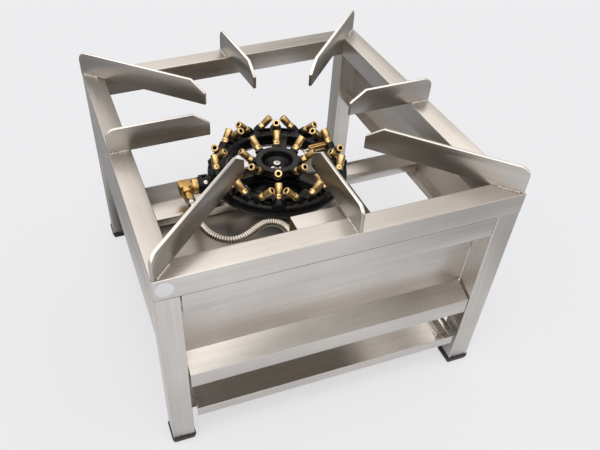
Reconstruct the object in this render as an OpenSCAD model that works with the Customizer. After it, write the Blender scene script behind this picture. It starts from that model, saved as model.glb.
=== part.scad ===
// Stock pot range: low gas stand with one jet ring burner
// Millimetres, Z up, front towards -Y, origin on the floor under the middle of the frame

/* [Frame] */
// Overall width of the square tube frame
frame_w = 610; // [400:5:800]
// Overall depth of the square tube frame
frame_d = 636; // [400:5:800]
// Height of the top of the frame above the floor
frame_h = 424; // [250:2:900]
// Outer size of the square tube
tube_s = 40; // [25:1:60]
// Wall of the square tube
tube_wall = 2; // [1:0.25:4]
// Small bevel along the tube edges
tube_bevel = 1.2; // [0.4:0.2:3]

/* [Feet] */
// Thickness of the wide flange of a foot cap
cap_flange_h = 7; // [2:0.5:12]
// How far the flange stands out beyond the tube
cap_lip = 2.2; // [0:0.2:4]
// Height of the narrower pad under the flange
cap_pad_h = 7; // [2:0.5:12]
// How far the pad is set back from the tube face
cap_pad_in = 0.5; // [0:0.5:5]
// Height of the plug inside the leg
cap_plug_h = 22; // [8:1:40]

/* [Pot bars] */
// Thickness of the flat bars
fin_t = 6; // [3:0.5:10]
// Height of the flat bars above the frame
fin_h = 46; // [20:1:80]
// Length of the bar on the front rail
front_bar_len = 183; // [100:1:240]
// Length of the bar on the rear rail
rear_bar_len = 182; // [100:1:240]
// Length of the bar on the left rail
left_bar_len = 185; // [100:1:240]
// Length of the bar on the right rail
right_bar_len = 165; // [100:1:240]
// Length of the bar at the front left corner
front_left_bar_len = 285; // [150:1:320]
// Length of the bar at the front right corner
front_right_bar_len = 269; // [150:1:320]
// Length of the bar at the rear left corner
rear_left_bar_len = 290; // [150:1:320]
// Length of the bar at the rear right corner
rear_right_bar_len = 279; // [150:1:320]
// Turn of the rear bar from square, as welded
rear_bar_turn = 4; // [-6:0.5:6]
// Turn of the two right corner bars from the mitre, as welded
right_corner_turn = 2.5; // [-6:0.5:6]
// Radius of the outer top corner of a bar
fin_round = 17; // [5:1:30]
// Length of the slope at the inner end of a bar
fin_slope_len = 30; // [10:1:60]
// Drop of the slope at the inner end of a bar
fin_slope_drop = 22; // [5:1:40]
// Set-back of a corner bar from the frame corner
fin_corner_gap = 4; // [1:0.5:10]
// Set-back of the rear left corner bar from the frame corner
rear_left_gap = 1.5; // [1:0.5:10]
// Shift of the front bar from the middle of its rail
fin_front_x = 16; // [-60:1:60]
// Shift of the rear bar from the middle of its rail
fin_rear_x = -4; // [-60:1:60]
// Shift of the left bar from the middle of its rail
fin_left_y = 13; // [-60:1:60]
// Shift of the right bar from the middle of its rail
fin_right_y = -12; // [-60:1:60]
// Leg size of the weld bead along a bar
bead_s = 3; // [1:0.25:6]
// Bare length left at the inner end of a weld bead
bead_end = 3; // [0:0.5:10]

/* [Sheet metal] */
// Thickness of the folded sheets
sheet_t = 1.2; // [0.8:0.1:3]
// Height of the apron under the front rail
apron_h = 38; // [20:1:80]
// Depth of the return behind the top of the apron
apron_top_ret = 16; // [8:1:35]
// Play between the apron and each leg
apron_gap = 1.5; // [0.3:0.1:5]
// Depth of the recess behind the apron
recess_d = 39; // [20:1:60]
// Room between the rim of the drip tray and the lip of the shelf
shelf_room = 68.5; // [10:0.5:150]
// Drop of the front edge of the sloping shelf below the foot of the panel
shelf_drop = 16; // [4:1:40]
// Drop of the lip in front of the shelf
shelf_lip = 33.5; // [10:0.5:60]
// Height of the shelf fold behind the panel
shelf_back_h = 18; // [8:1:40]
// Height of the side panels
side_h = 116; // [60:2:200]
// Width of the flange at the foot of a side panel
side_flange = 25; // [10:1:50]
// Width of the return at the top of a side panel
side_top_ret = 15; // [8:1:35]
// Length of the shield sheet to the right of the middle
shield_right = 155; // [50:5:280]
// Length of the shield sheet behind the middle
shield_rear = 100; // [40:5:260]
// Downward fold along the free edges of the shield
shield_fold = 8; // [3:0.5:20]

/* [Burner bearer] */
// Width of the flat tube that carries the burner
bearer_w = 50; // [30:1:80]
// Height of the flat tube that carries the burner
bearer_h = 16.5; // [10:0.5:40]
// Shift of the bearer from the middle of the frame
bearer_y = -2; // [-60:1:60]

/* [Valve cover] */
// Length of the cover behind the front rail
cover_len = 91; // [50:1:160]
// Depth of the cover behind the front rail
cover_d = 34; // [15:1:60]
// Height of the cover
cover_h = 64; // [20:1:80]
// Position of the left end of the cover from the middle
cover_x = -68; // [-200:1:100]
// Drop of the cover below the top of the frame
cover_drop = 4; // [1:0.5:20]

/* [Drip tray] */
// Room between the rim of the drip tray and each leg
tray_gap = 9; // [3:0.5:20]
// Room behind the drip tray up to the back of the frame
tray_back = 56; // [42:2:120]
// Height of the rim of the tray
tray_rim = 21; // [10:1:50]
// Height of the tray bottom above the floor
tray_z = 67; // [40:1:150]
// Width of the small outward rim around the tray
tray_edge = 5; // [2:0.5:8]
// Width of the ledge of the tray runners
runner_ledge = 24; // [10:1:40]
// Height of the tray runners
runner_h = 20; // [10:1:40]

/* [Burner] */
// Position of the burner axis from the middle, across
burner_x = 5; // [-40:1:40]
// Position of the burner axis from the middle, in depth
burner_y = -3; // [-40:1:40]
// Radius on which the outer jets stand
ring_jet_r = 118; // [80:1:160]
// Radius on which the hub jets stand
hub_jet_r = 50; // [30:1:80]
// Drop of the foot of the jets below the top of the frame
jet_drop = 76; // [50:1:120]
// Number of jet groups round the ring
groups = 8; // [4:1:12]
// Angle between two jets of a group
jet_step = 15; // [8:1:20]
// Turn of the burner about its axis
burner_turn = 25.5; // [0:0.5:45]
// Slope of the jets above the horizontal
jet_slope = 45; // [20:1:80]
// Turn of the three spokes
spoke_turn = 65; // [0:1:119]
// Width of a spoke
spoke_w = 28; // [10:1:50]

/* [Jets] */
// Radius of a jet
jet_r = 7.25; // [3:0.25:12]
// Length of a jet outside its boss
jet_len = 28; // [12:0.5:50]
// Radius of the bore of a jet
jet_bore_r = 3.5; // [1:0.1:8]
// Height of the hexagon at the foot of a jet
jet_hex_h = 6; // [3:0.5:12]
// Radius of the air holes in the hexagon
jet_air_r = 1.3; // [0.4:0.1:2]
// Radius of a boss under a jet
boss_r = 8.8; // [5:0.2:15]
// Length of a boss under a jet
boss_len = 13; // [6:0.5:25]

/* [Gas line] */
// Radius of the mixer tube
mixer_r = 16; // [8:0.5:25]
// Radius of the bore of the mixer tube
mixer_bore_r = 9; // [4:0.5:18]
// Drop of the mixer axis below the foot of the jets
mixer_drop = 28; // [20:0.5:60]
// Outer radius of the ribbed hose
hose_r = 7.5; // [4:0.25:12]
// Radius in the grooves of the ribbed hose
hose_groove_r = 6.5; // [3:0.25:11]
// Radius of the bore of the ribbed hose
hose_bore_r = 5.2; // [2:0.25:10]

/* [Label disc] */
// Radius of the bare disc on the front rail
disc_r = 14.3; // [5:0.1:18]
// Thickness of the bare disc
disc_t = 0.6; // [0.2:0.1:2]
// Distance of the disc centre from the left side of the frame
disc_in = 18.2; // [16:0.5:60]

/* [Hidden] */
// cuts run past the faces by this much
over = 1;
// pieces that only touch stand apart by this much
seat = 0.3;
// play between a pin and its hole
play = 0.15;
// play of the turning collar
run_fit = 0.08;
w = frame_w / 2;
d = frame_d / 2;
rail_z = frame_h - tube_s;
leg_z = cap_pad_h + cap_flange_h;
leg_in_x = w - tube_s;
leg_in_y = d - tube_s;
tube_in = tube_s - 2 * tube_wall;
apron_z = rail_z - apron_h;
panel_y = -d + recess_d;
side_foot_z = rail_z - side_h;
shelf_front_z = tray_z + tray_rim + shelf_room + shelf_lip;
panel_foot_z = shelf_front_z + shelf_drop;
tray_w = 2 * (leg_in_x - tray_gap);
tray_d = frame_d - tray_back;
jet_foot_z = frame_h - jet_drop;
mixer_z = jet_foot_z - mixer_drop;
flange_top = side_foot_z + sheet_t;
bearer_top = flange_top + bearer_h;
corner_mitre = 45;
$fn = 48;

// bead
bead_pts = [[0, 0], [1, 0], [0.72, 0.42], [0.42, 0.72], [0, 1]];

// ring profiles as radius and height below the jet feet
ring_top = [[99, -10], [102, -7], [113, -7], [121, -8], [128, -10], [131, -14], [131.5, -24], [127, -24],
            [127, -21.5], [104, -21.5], [104, -25], [99, -25]];
ring_low = [[99.5, -25.3], [99.5, -31], [109, -43.5], [119, -44], [130, -33.5], [133.5, -24], [133.5, -19.5],
            [131.8, -19.5], [131.8, -24.3], [127.5, -32], [118, -41], [110.5, -41], [103, -31], [103, -25.3]];
// pockets on both sides of each block, open above, as radius and height
pocket_pts = [[108, -17], [124, -17], [124.5, 2], [107.5, 2]];
pocket_from = 6;
pocket_turn = 10;
block_r0 = 104;
block_r1 = 131;
block_w = 22;
block_top = -5.6;
block_foot = -21;
boss_hole_r = 4;
stub_len = 7;
port_len = 12;

// hub profile as radius and height below the jet feet
hub_pts = [[24, -25.7], [38, -18], [42, -12], [42, 2], [40, 3], [31, 3], [29, 1], [27, -10], [18, -21],
           [5.2, -21], [5.2, -25.7]];
spoke_pts = [[20, -34], [20, -26], [44, -26], [52, -12], [101, -10], [101, -24], [60, -30]];
spider_r = 34;
bell_pts = [[23, 0], [23, 5], [30, 6], [56, 12], [61, 16], [61, 21], [55, 25], [34, 28]];
spider_z0 = -34;
spider_z1 = -27;
stud_r = 5;
stud_hole_r = 5.4;
stud_head_r = 6.6;
stud_head_h = 7;
stud_socket_r = 3.6;
stud_socket_h = 4;
stud_rise = -6;
stud_nut_r = 9.5;
stud_nut_h = 8;
washer_r = 12;
washer_t = 2;
spokes = 3;

// mixer, as distances from the burner axis
mixer_turn = 176.5;
mixer_sink = 5;
shutter_room = 2.5;
shutter_len = 16;
shutter_gap = 4;
ring_out_r = max([for (p = ring_low) p[0]]);
mixer_r0 = ring_out_r - mixer_sink;
shutter_r0 = ring_out_r + shutter_room;
mixer_r1 = shutter_r0 + shutter_len + shutter_gap;
shutter_turn = -45;
shutter_wall = 3;
shutter_slot_w = 7;
shutter_slots = 4;
mixer_slot_len = 7;
lug_w = 9;
lug_h = 6;
lug_len = 7;
lock_r = 2;
lock_head_r = 3.8;
lock_head_h = 3;
inj_nut_r = 15.5;
inj_nut_len = 11;
inj_nose_r = 5;
inj_nose_len = 14;
inj_hole_r = 1.2;
elbow_s = 22;
elbow_neck_r = 9.5;
elbow_collar = 12;
elbow_arm_r = 7;
hose_nut_r = 10;
hose_nut_len = 13;
ferrule_r = 8.6;
ferrule_len = 12;
hose_z = mixer_z;
// the hose passes through these points, with heights above the mixer axis
hose_points = [
    [-176, -42, 0], [-176, -60, 0], [-177, -78, 2], [-178, -96, 5], [-177, -114, 7], [-174, -132, 9],
    [-167, -149, 10], [-155, -163, 10], [-139, -171, 10], [-121, -170, 10], [-104, -163, 10],
    [-88, -154, 10], [-71, -148, 10], [-55, -152, 10], [-44, -164, 10], [-40, -180, 10],
    [-40, -198, 10], [-40, -216, 10], [-40, -234, 10]];
hose_route = [for (p = hose_points) p + [0, 0, mixer_z]];
hose_sides = 8;
hose_steps = 8;

valve_x = -40;
valve_w = 30;
valve_d = 16;
valve_h = 26;
valve_arm_r = 7;
valve_nut_r = 10;
supply_r = 6.5;
supply_len = 46;
supply_nut_r = 8;
supply_nut_len = 10;
supply_free = 22;
supply_bore_r = 4;

// small parts of the pilot
pilot_len = 34;
pilot_arm_len = 42;
pilot_w = 10;
pilot_h = 8;
pilot_turn = 5;
pilot_r = 69;
pilot_side = 8;
pilot_slot_w = 2.4;
pilot_screw_r = 2.2;
pilot_screw_head = 4;
pilot_seat_z = -7;
pilot_bar_w = 14;
pilot_bar_t = 3;
pilot_bar_hole = 3;

// screws that hold the bearer on the side flanges
bolt_r = 3;
bolt_head_r = 5.5;
bolt_head_h = 3.5;
bolt_in_x = 12;
bolt_in_y = 14;

// stops and tab of the tray
tab_w = 14;
tab_h = 13;
tab_gap = 0.8;
tab_y = 20;

steel = [0.72, 0.69, 0.66];
dark_steel = [0.5, 0.49, 0.48];
black_iron = [0.08, 0.08, 0.085];
brass_c = [0.75, 0.58, 0.3];
plastic_c = [0.04, 0.04, 0.04];
bright = [0.85, 0.85, 0.86];
white_c = [0.9, 0.9, 0.9];

// one mitred tube along X, outer face towards -Y, from the floor of the tube up
module mitred_tube(len) {
    difference() {
        along_x(len) difference() {
            tube_outline(tube_s, tube_bevel);
            translate([tube_wall, tube_wall]) square(tube_in);
        }
        for (m = [0, 1]) mirror([m, 0, 0])
            translate([len / 2, 0, -over]) linear_extrude(height = tube_s + 2 * over)
                polygon([[over, -over], [over, tube_s + over], [-tube_s - over, tube_s + over]]);
    }
}

module front_rail() {
    color(steel) translate([0, -d, rail_z]) mitred_tube(frame_w);
}

module rear_rail() {
    color(steel) translate([0, d, rail_z]) rotate([0, 0, 180]) mitred_tube(frame_w);
}

module left_rail() {
    color(steel) translate([-w, 0, rail_z]) rotate([0, 0, -90]) mitred_tube(frame_d);
}

module right_rail() {
    color(steel) translate([w, 0, rail_z]) rotate([0, 0, 90]) mitred_tube(frame_d);
}

// outline of a square tube with bevelled corners
module tube_outline(s, b) {
    polygon([[b, 0], [s - b, 0], [s, b], [s, s - b], [s - b, s], [b, s], [0, s - b], [0, b]]);
}

module leg(sx, sy) {
    color(steel)
        translate([sx < 0 ? -w : leg_in_x, sy < 0 ? -d : leg_in_y, leg_z])
            linear_extrude(height = rail_z - leg_z)
                difference() {
                    tube_outline(tube_s, tube_bevel);
                    translate([tube_wall, tube_wall]) square(tube_in);
                }
}

module leg_front_left() { leg(-1, -1); }
module leg_front_right() { leg(1, -1); }
module leg_rear_left() { leg(-1, 1); }
module leg_rear_right() { leg(1, 1); }

module foot_cap(sx, sy) {
    color(plastic_c)
        translate([sx < 0 ? -w : leg_in_x, sy < 0 ? -d : leg_in_y, 0]) {
            translate([cap_pad_in, cap_pad_in, 0])
                linear_extrude(height = cap_pad_h + over)
                    tube_outline(tube_s - 2 * cap_pad_in, tube_bevel);
            translate([-cap_lip, -cap_lip, cap_pad_h])
                linear_extrude(height = cap_flange_h)
                    tube_outline(tube_s + 2 * cap_lip, tube_bevel + cap_lip);
            translate([tube_wall + play, tube_wall + play, cap_pad_h])
                difference() {
                    cube([tube_in - 2 * play, tube_in - 2 * play, cap_flange_h + cap_plug_h]);
                    translate([tube_wall, tube_wall, cap_flange_h])
                        cube([tube_in - 2 * play - 2 * tube_wall, tube_in - 2 * play - 2 * tube_wall,
                              cap_plug_h + over]);
                }
        }
}

module foot_front_left() { foot_cap(-1, -1); }
module foot_front_right() { foot_cap(1, -1); }
module foot_rear_left() { foot_cap(-1, 1); }
module foot_rear_right() { foot_cap(1, 1); }

// upright flat bar along +X, outer end at x 0, standing on z 0
module pot_bar(len) {
    translate([0, fin_t / 2, 0])
        rotate([90, 0, 0])
            linear_extrude(height = fin_t)
                difference() {
                    polygon([[0, 0], [len, 0], [len, fin_h - fin_slope_drop], [len - fin_slope_len, fin_h],
                             [0, fin_h]]);
                    difference() {
                        translate([-over, fin_h - fin_round]) square([fin_round + over, fin_round + over]);
                        translate([fin_round, fin_h - fin_round]) circle(r = fin_round);
                    }
                }
}

// places a piece at the outer end of a side bar
module at_side(side) {
    if (side == "front") translate([fin_front_x, -d, frame_h]) rotate([0, 0, 90]) children();
    if (side == "rear") translate([fin_rear_x, d, frame_h]) rotate([0, 0, rear_bar_turn - 90]) children();
    if (side == "left") translate([-w, fin_left_y, frame_h]) children();
    if (side == "right") translate([w, fin_right_y, frame_h]) rotate([0, 0, 180]) children();
}

// places a piece at the frame corner, running inwards on the mitre line
module at_corner(sx, sy) {
    off_mitre = corner_mitre + (sx < 0 ? 0 : right_corner_turn);
    turn = sx < 0 ? -sy * off_mitre : 180 + sy * off_mitre;
    gap = sx < 0 && sy > 0 ? rear_left_gap : fin_corner_gap;
    translate([sx * w, sy * d, frame_h]) rotate([0, 0, turn]) translate([gap, 0, 0]) children();
}

module bar_front() { color(steel) at_side("front") pot_bar(front_bar_len); }
module bar_rear() { color(steel) at_side("rear") pot_bar(rear_bar_len); }
module bar_left() { color(steel) at_side("left") pot_bar(left_bar_len); }
module bar_right() { color(steel) at_side("right") pot_bar(right_bar_len); }
module bar_front_left() { color(steel) at_corner(-1, -1) pot_bar(front_left_bar_len); }
module bar_front_right() { color(steel) at_corner(1, -1) pot_bar(front_right_bar_len); }
module bar_rear_left() { color(steel) at_corner(-1, 1) pot_bar(rear_left_bar_len); }
module bar_rear_right() { color(steel) at_corner(1, 1) pot_bar(rear_right_bar_len); }

// weld beads on both sides of a bar, over the rail under it
module bead_pair(len, from) {
    for (m = [0, 1]) mirror([0, m, 0])
        translate([from, fin_t / 2, 0])
            rotate([90, 0, 90])
                linear_extrude(height = len)
                    polygon(bead_s * bead_pts);
}

module bar_welds() {
    side_len = tube_s - tube_bevel - bead_end;
    corner_len = (tube_s - tube_bevel) * sqrt(2) - fin_corner_gap - bead_end - 2 * fin_t;
    color(bright) {
        for (side = ["front", "rear", "left", "right"]) at_side(side) bead_pair(side_len, tube_bevel);
        for (sx = [-1, 1]) for (sy = [-1, 1]) at_corner(sx, sy) bead_pair(corner_len, fin_t);
    }
}

// folded sheet: profile extruded along X
module along_x(len) {
    translate([-len / 2, 0, 0]) rotate([90, 0, 90]) linear_extrude(height = len) children();
}

// apron under the front rail, folded back at its top and foot
module front_apron() {
    len = 2 * (leg_in_x - apron_gap);
    color(steel) along_x(len)
        polygon([[-d, apron_z], [panel_y - seat, apron_z], [panel_y - seat, apron_z + sheet_t],
                 [-d + sheet_t, apron_z + sheet_t], [-d + sheet_t, rail_z - sheet_t],
                 [-d + apron_top_ret, rail_z - sheet_t], [-d + apron_top_ret, rail_z], [-d, rail_z]]);
}

module front_panel() {
    len = 2 * (leg_in_x - seat);
    color(steel) along_x(len)
        polygon([[panel_y, panel_foot_z], [panel_y + sheet_t, panel_foot_z],
                 [panel_y + sheet_t, apron_z + shelf_back_h], [panel_y, apron_z + shelf_back_h]]);
}

// sloping shelf with a lip in front and a fold up behind the panel
module drip_shelf() {
    len = 2 * (leg_in_x - apron_gap - sheet_t);
    yb = panel_y + sheet_t + sheet_t;
    color(steel) along_x(len)
        polygon([[yb, panel_foot_z - seat - sheet_t], [yb, panel_foot_z + shelf_back_h],
                 [yb - sheet_t, panel_foot_z + shelf_back_h], [yb - sheet_t, panel_foot_z - seat],
                 [-d, shelf_front_z], [-d, shelf_front_z - shelf_lip],
                 [-d + sheet_t, shelf_front_z - shelf_lip], [-d + sheet_t, shelf_front_z - sheet_t]]);
}

// side panel between two legs, flush with their outer faces
module side_panel_shape() {
    len = 2 * (leg_in_y - seat);
    rotate([0, 0, 90]) along_x(len)
        polygon([[-w, side_foot_z], [-w + side_flange, side_foot_z], [-w + side_flange, flange_top],
                 [-w + sheet_t, flange_top], [-w + sheet_t, rail_z - sheet_t],
                 [-w + side_top_ret, rail_z - sheet_t], [-w + side_top_ret, rail_z], [-w, rail_z]]);
}

module bolt_holes() {
    for (sx = [-1, 1]) for (sy = [-1, 1])
        translate([sx * (w - bolt_in_x), bearer_y + sy * bolt_in_y, side_foot_z - bolt_head_h])
            cylinder(r = bolt_r + play, h = bolt_head_h + sheet_t + 3 * tube_wall);
}

module side_panel_right() {
    color(steel) difference() {
        side_panel_shape();
        bolt_holes();
    }
}

module side_panel_left() {
    color(steel) difference() {
        mirror([1, 0, 0]) side_panel_shape();
        bolt_holes();
    }
}

// heat shield under the bearer, only on the left part of the stand
module heat_shield() {
    x0 = -w + bolt_in_x + bolt_head_r + 2 * sheet_t;
    y0 = panel_y + 2 * sheet_t + seat;
    z1 = side_foot_z;
    color(dark_steel) difference() {
        union() {
            translate([x0, y0, z1 - sheet_t]) cube([shield_right - x0, shield_rear - y0, sheet_t]);
            translate([shield_right - sheet_t, y0, z1 - shield_fold])
                cube([sheet_t, shield_rear - y0, shield_fold]);
            translate([x0, shield_rear - sheet_t, z1 - shield_fold])
                cube([shield_right - x0, sheet_t, shield_fold]);
            translate([x0, y0, z1 - shield_fold]) cube([shield_right - x0, sheet_t, shield_fold]);
        }
        translate([burner_x, burner_y, z1 - shield_fold])
            cylinder(r = stud_nut_r + 2 * play + over, h = 2 * shield_fold);
    }
}

module burner_bearer() {
    color(steel) difference() {
        translate([-w + sheet_t + seat, bearer_y - bearer_w / 2, flange_top])
            cube([2 * (w - sheet_t - seat), bearer_w, bearer_h]);
        translate([-w, bearer_y - bearer_w / 2 + tube_wall, flange_top + tube_wall])
            cube([frame_w, bearer_w - 2 * tube_wall, bearer_h - 2 * tube_wall]);
        bolt_holes();
        translate([burner_x, burner_y, side_foot_z]) cylinder(r = stud_hole_r, h = 2 * bearer_h);
    }
}

module bearer_bolts() {
    color(bright) for (sx = [-1, 1]) for (sy = [-1, 1])
        translate([sx * (w - bolt_in_x), bearer_y + sy * bolt_in_y, side_foot_z - bolt_head_h]) {
            cylinder(r = bolt_head_r, h = bolt_head_h, $fn = 6);
            cylinder(r = bolt_r, h = bolt_head_h + sheet_t + 2 * tube_wall);
        }
}

// cover behind the front rail, open at its ends and below
module valve_cover() {
    z1 = frame_h - cover_drop;
    y0 = -leg_in_y;
    color(steel) difference() {
        translate([cover_x, y0, z1 - cover_h]) cube([cover_len, cover_d, cover_h]);
        translate([cover_x - over, y0 - over, z1 - cover_h - over])
            cube([cover_len + 2 * over, cover_d - sheet_t + over, cover_h - sheet_t + over]);
    }
}

module runner(sx) {
    color(dark_steel) mirror([sx < 0 ? 0 : 1, 0, 0])
        rotate([0, 0, 90]) translate([0, 2 * leg_in_x, 0]) mirror([0, 1, 0]) along_x(frame_d - tube_s)
            translate([leg_in_x, 0]) polygon([[0, tray_z - sheet_t], [runner_ledge, tray_z - sheet_t],
                [runner_ledge, tray_z], [sheet_t, tray_z], [sheet_t, tray_z + runner_h],
                [0, tray_z + runner_h]]);
}

module runner_left() { runner(-1); }
module runner_right() { runner(1); }

// shallow pan with a small rim, pulled out towards the front
module drip_tray() {
    z0 = tray_z + seat;
    tw = tray_w - 2 * tray_edge;
    color(steel) difference() {
        union() {
            translate([-tw / 2, -d + sheet_t, z0]) cube([tw, tray_d - sheet_t - tray_edge, tray_rim]);
            translate([-tray_w / 2, -d + sheet_t, z0 + tray_rim - sheet_t])
                cube([tray_w, tray_d - sheet_t, sheet_t]);
            translate([-tray_w / 2, -d, z0]) cube([tray_w, sheet_t, tray_rim]);
        }
        translate([-tw / 2 + sheet_t, -d + sheet_t, z0 + sheet_t])
            cube([tw - 2 * sheet_t, tray_d - 2 * sheet_t - tray_edge, tray_rim]);
    }
}

module tray_tab() {
    z0 = tray_z + seat + sheet_t;
    tab_x = tray_w / 2 - tray_edge - sheet_t - tab_gap - tab_w;
    color(steel) translate([tab_x, -d + tab_y, z0]) {
        cube([tab_w, sheet_t, tab_h]);
        cube([tab_w, tab_h, sheet_t]);
    }
}

module label_disc() {
    color(white_c)
        translate([-w + disc_in, -d, frame_h - disc_in])
            rotate([90, 0, 0]) cylinder(r = disc_r, h = disc_t);
}

// places a piece on the burner axis at the height of the jet feet
module on_burner() {
    translate([burner_x, burner_y, jet_foot_z]) children();
}

// places a piece at a jet of the ring: kind 0 leans inwards, -1 and 1 lean along the ring
module at_ring_jet(group, kind) {
    lean = 90 - jet_slope;
    on_burner() rotate([0, 0, burner_turn + group * 360 / groups + kind * jet_step])
        translate([ring_jet_r, 0, 0]) rotate([kind * lean, kind == 0 ? -lean : 0, 0]) children();
}

module at_hub_jet(group) {
    on_burner() rotate([0, 0, burner_turn + group * 360 / groups])
        translate([hub_jet_r, 0, 0]) rotate([0, 90 - jet_slope, 0]) children();
}

module boss() {
    translate([0, 0, -boss_len]) cylinder(r = boss_r, h = boss_len - 2 * seat);
}

module boss_hole() {
    translate([0, 0, -port_len]) cylinder(r = boss_hole_r + play, h = port_len + over);
}

// brass jet screwed into its boss, open at the top
module jet() {
    neck = jet_hex_h / 4;
    difference() {
        union() {
            translate([0, 0, -stub_len]) cylinder(r = boss_hole_r, h = stub_len + over);
            cylinder(r = jet_r + play, h = jet_hex_h, $fn = 6);
            translate([0, 0, jet_hex_h - play]) cylinder(r = jet_r - neck / 2, h = neck + 2 * play);
            translate([0, 0, jet_hex_h + neck]) cylinder(r = jet_r, h = jet_len - jet_hex_h - 2 * neck);
            translate([0, 0, jet_len - neck]) cylinder(r1 = jet_r, r2 = jet_r - neck / 2, h = neck);
        }
        translate([0, 0, jet_hex_h / 4]) cylinder(r = jet_bore_r, h = jet_len);
        translate([0, 0, -stub_len - over]) cylinder(r = jet_air_r, h = jet_len);
        for (a = [0, 90]) rotate([0, 0, a])
            translate([-jet_r - over, 0, jet_hex_h * 0.6]) rotate([0, 90, 0])
                cylinder(r = jet_air_r, h = 2 * jet_r + 2 * over, $fn = 12);
    }
}

// ring casting with its bosses, spokes and centre plate
module burner_ring() {
    color(black_iron) difference() {
        union() {
            on_burner() difference() {
                rotate_extrude($fn = 96) polygon(ring_top);
                for (g = [0 : groups - 1]) for (m = [-1, 1])
                    rotate([0, 0, burner_turn + g * 360 / groups + m * (pocket_from + pocket_turn / 2)])
                        rotate([0, 0, -pocket_turn / 2]) rotate_extrude(angle = pocket_turn) polygon(pocket_pts);
            }
            on_burner() for (g = [0 : groups - 1])
                rotate([0, 0, burner_turn + g * 360 / groups])
                    translate([block_r0, -block_w / 2, block_foot])
                        cube([block_r1 - block_r0, block_w, block_top - block_foot]);
            for (g = [0 : groups - 1]) for (k = [-1, 0, 1]) at_ring_jet(g, k) boss();
            on_burner() for (s = [0 : spokes - 1])
                rotate([0, 0, spoke_turn + s * 360 / spokes])
                    translate([0, spoke_w / 2, 0]) rotate([90, 0, 0])
                        linear_extrude(height = spoke_w) polygon(spoke_pts);
            on_burner() translate([0, 0, spider_z0]) cylinder(r = spider_r, h = spider_z1 - spider_z0);
        }
        for (g = [0 : groups - 1]) for (k = [-1, 0, 1]) at_ring_jet(g, k) boss_hole();
        on_burner() translate([0, 0, 2 * spider_z0]) cylinder(r = stud_hole_r, h = -2 * spider_z0);
        mixer_seat();
    }
}

// hole in the ring and its cover for the end of the mixer
module mixer_seat() {
    mixer_place() translate([0, 0, mixer_r0 - seat]) cylinder(r = mixer_r + play, h = mixer_r1);
    mixer_place() translate([0, 0, mixer_r0 - mixer_bore_r]) cylinder(r = mixer_bore_r, h = mixer_r1);
}

module burner_base() {
    color(black_iron) difference() {
        on_burner() rotate_extrude($fn = 96) polygon(ring_low);
        mixer_seat();
    }
}

module burner_hub() {
    color(black_iron) difference() {
        union() {
            on_burner() rotate_extrude($fn = 72) polygon(hub_pts);
            for (g = [0 : groups - 1]) at_hub_jet(g) boss();
        }
        for (g = [0 : groups - 1]) at_hub_jet(g) boss_hole();
        on_burner() translate([0, 0, hub_pts[7][1]])
            cylinder(r1 = hub_pts[7][0], r2 = hub_pts[6][0], h = hub_pts[6][1] - hub_pts[7][1]);
    }
}

module ring_jets_centre() {
    color(brass_c) for (g = [0 : groups - 1]) at_ring_jet(g, 0) jet();
}

module ring_jets_side() {
    color(brass_c) for (g = [0 : groups - 1]) for (k = [-1, 1]) at_ring_jet(g, k) jet();
}

module hub_jets() {
    color(brass_c) for (g = [0 : groups - 1]) at_hub_jet(g) jet();
}

// stud through hub, spider, foot and bearer, with its round head in the hub bowl
module hub_stud() {
    z0 = side_foot_z - stud_nut_h;
    z1 = jet_foot_z + stud_rise;
    color(bright) translate([burner_x, burner_y, 0]) difference() {
        union() {
            translate([0, 0, z0]) cylinder(r = stud_r, h = z1 - z0);
            translate([0, 0, z1 - stud_head_h]) cylinder(r = stud_head_r, h = stud_head_h - play);
        }
        translate([0, 0, z1 - stud_socket_h]) cylinder(r = stud_socket_r, h = stud_socket_h + over, $fn = 6);
    }
}

module hub_washer() {
    color(bright) on_burner() translate([0, 0, hub_pts[8][1]]) difference() {
        cylinder(r = washer_r, h = washer_t);
        translate([0, 0, -over]) cylinder(r = stud_hole_r, h = washer_t + 2 * over);
    }
}

module stud_nut() {
    color(bright) translate([burner_x, burner_y, flange_top - stud_nut_h]) difference() {
        cylinder(r = stud_nut_r, h = stud_nut_h - play, $fn = 6);
        translate([0, 0, -over]) cylinder(r = stud_r + play, h = stud_nut_h + 2 * over);
    }
}

module burner_foot() {
    z1 = jet_foot_z + spider_z0;
    color(black_iron) translate([burner_x, burner_y, bearer_top]) difference() {
        rotate_extrude() polygon(concat([[0, 0]], bell_pts, [[spider_r, z1 - bearer_top], [0, z1 - bearer_top]]));
        translate([0, 0, -over]) cylinder(r = stud_hole_r, h = z1 - bearer_top + 2 * over);
    }
}

// places a piece on the mixer axis, Z running outwards from the burner axis
module mixer_place() {
    translate([burner_x, burner_y, mixer_z]) rotate([0, 0, mixer_turn]) rotate([0, 90, 0]) children();
}

module mixer_tube() {
    slot_z = shutter_r0 + (shutter_len - mixer_slot_len) / 2;
    color(black_iron) mixer_place() difference() {
        translate([0, 0, mixer_r0]) cylinder(r = mixer_r, h = mixer_r1 - mixer_r0);
        translate([0, 0, mixer_r0 - over]) cylinder(r = mixer_bore_r, h = mixer_r1 - mixer_r0 - shutter_wall);
        translate([0, 0, mixer_r0]) cylinder(r = inj_nose_r + play, h = mixer_r1);
        for (a = [0 : shutter_slots - 1]) rotate([0, 0, shutter_turn + 360 / shutter_slots * (a + 0.5)])
            translate([0, -shutter_slot_w / 2, slot_z])
                cube([2 * mixer_r, shutter_slot_w, mixer_slot_len]);
    }
}

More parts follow.
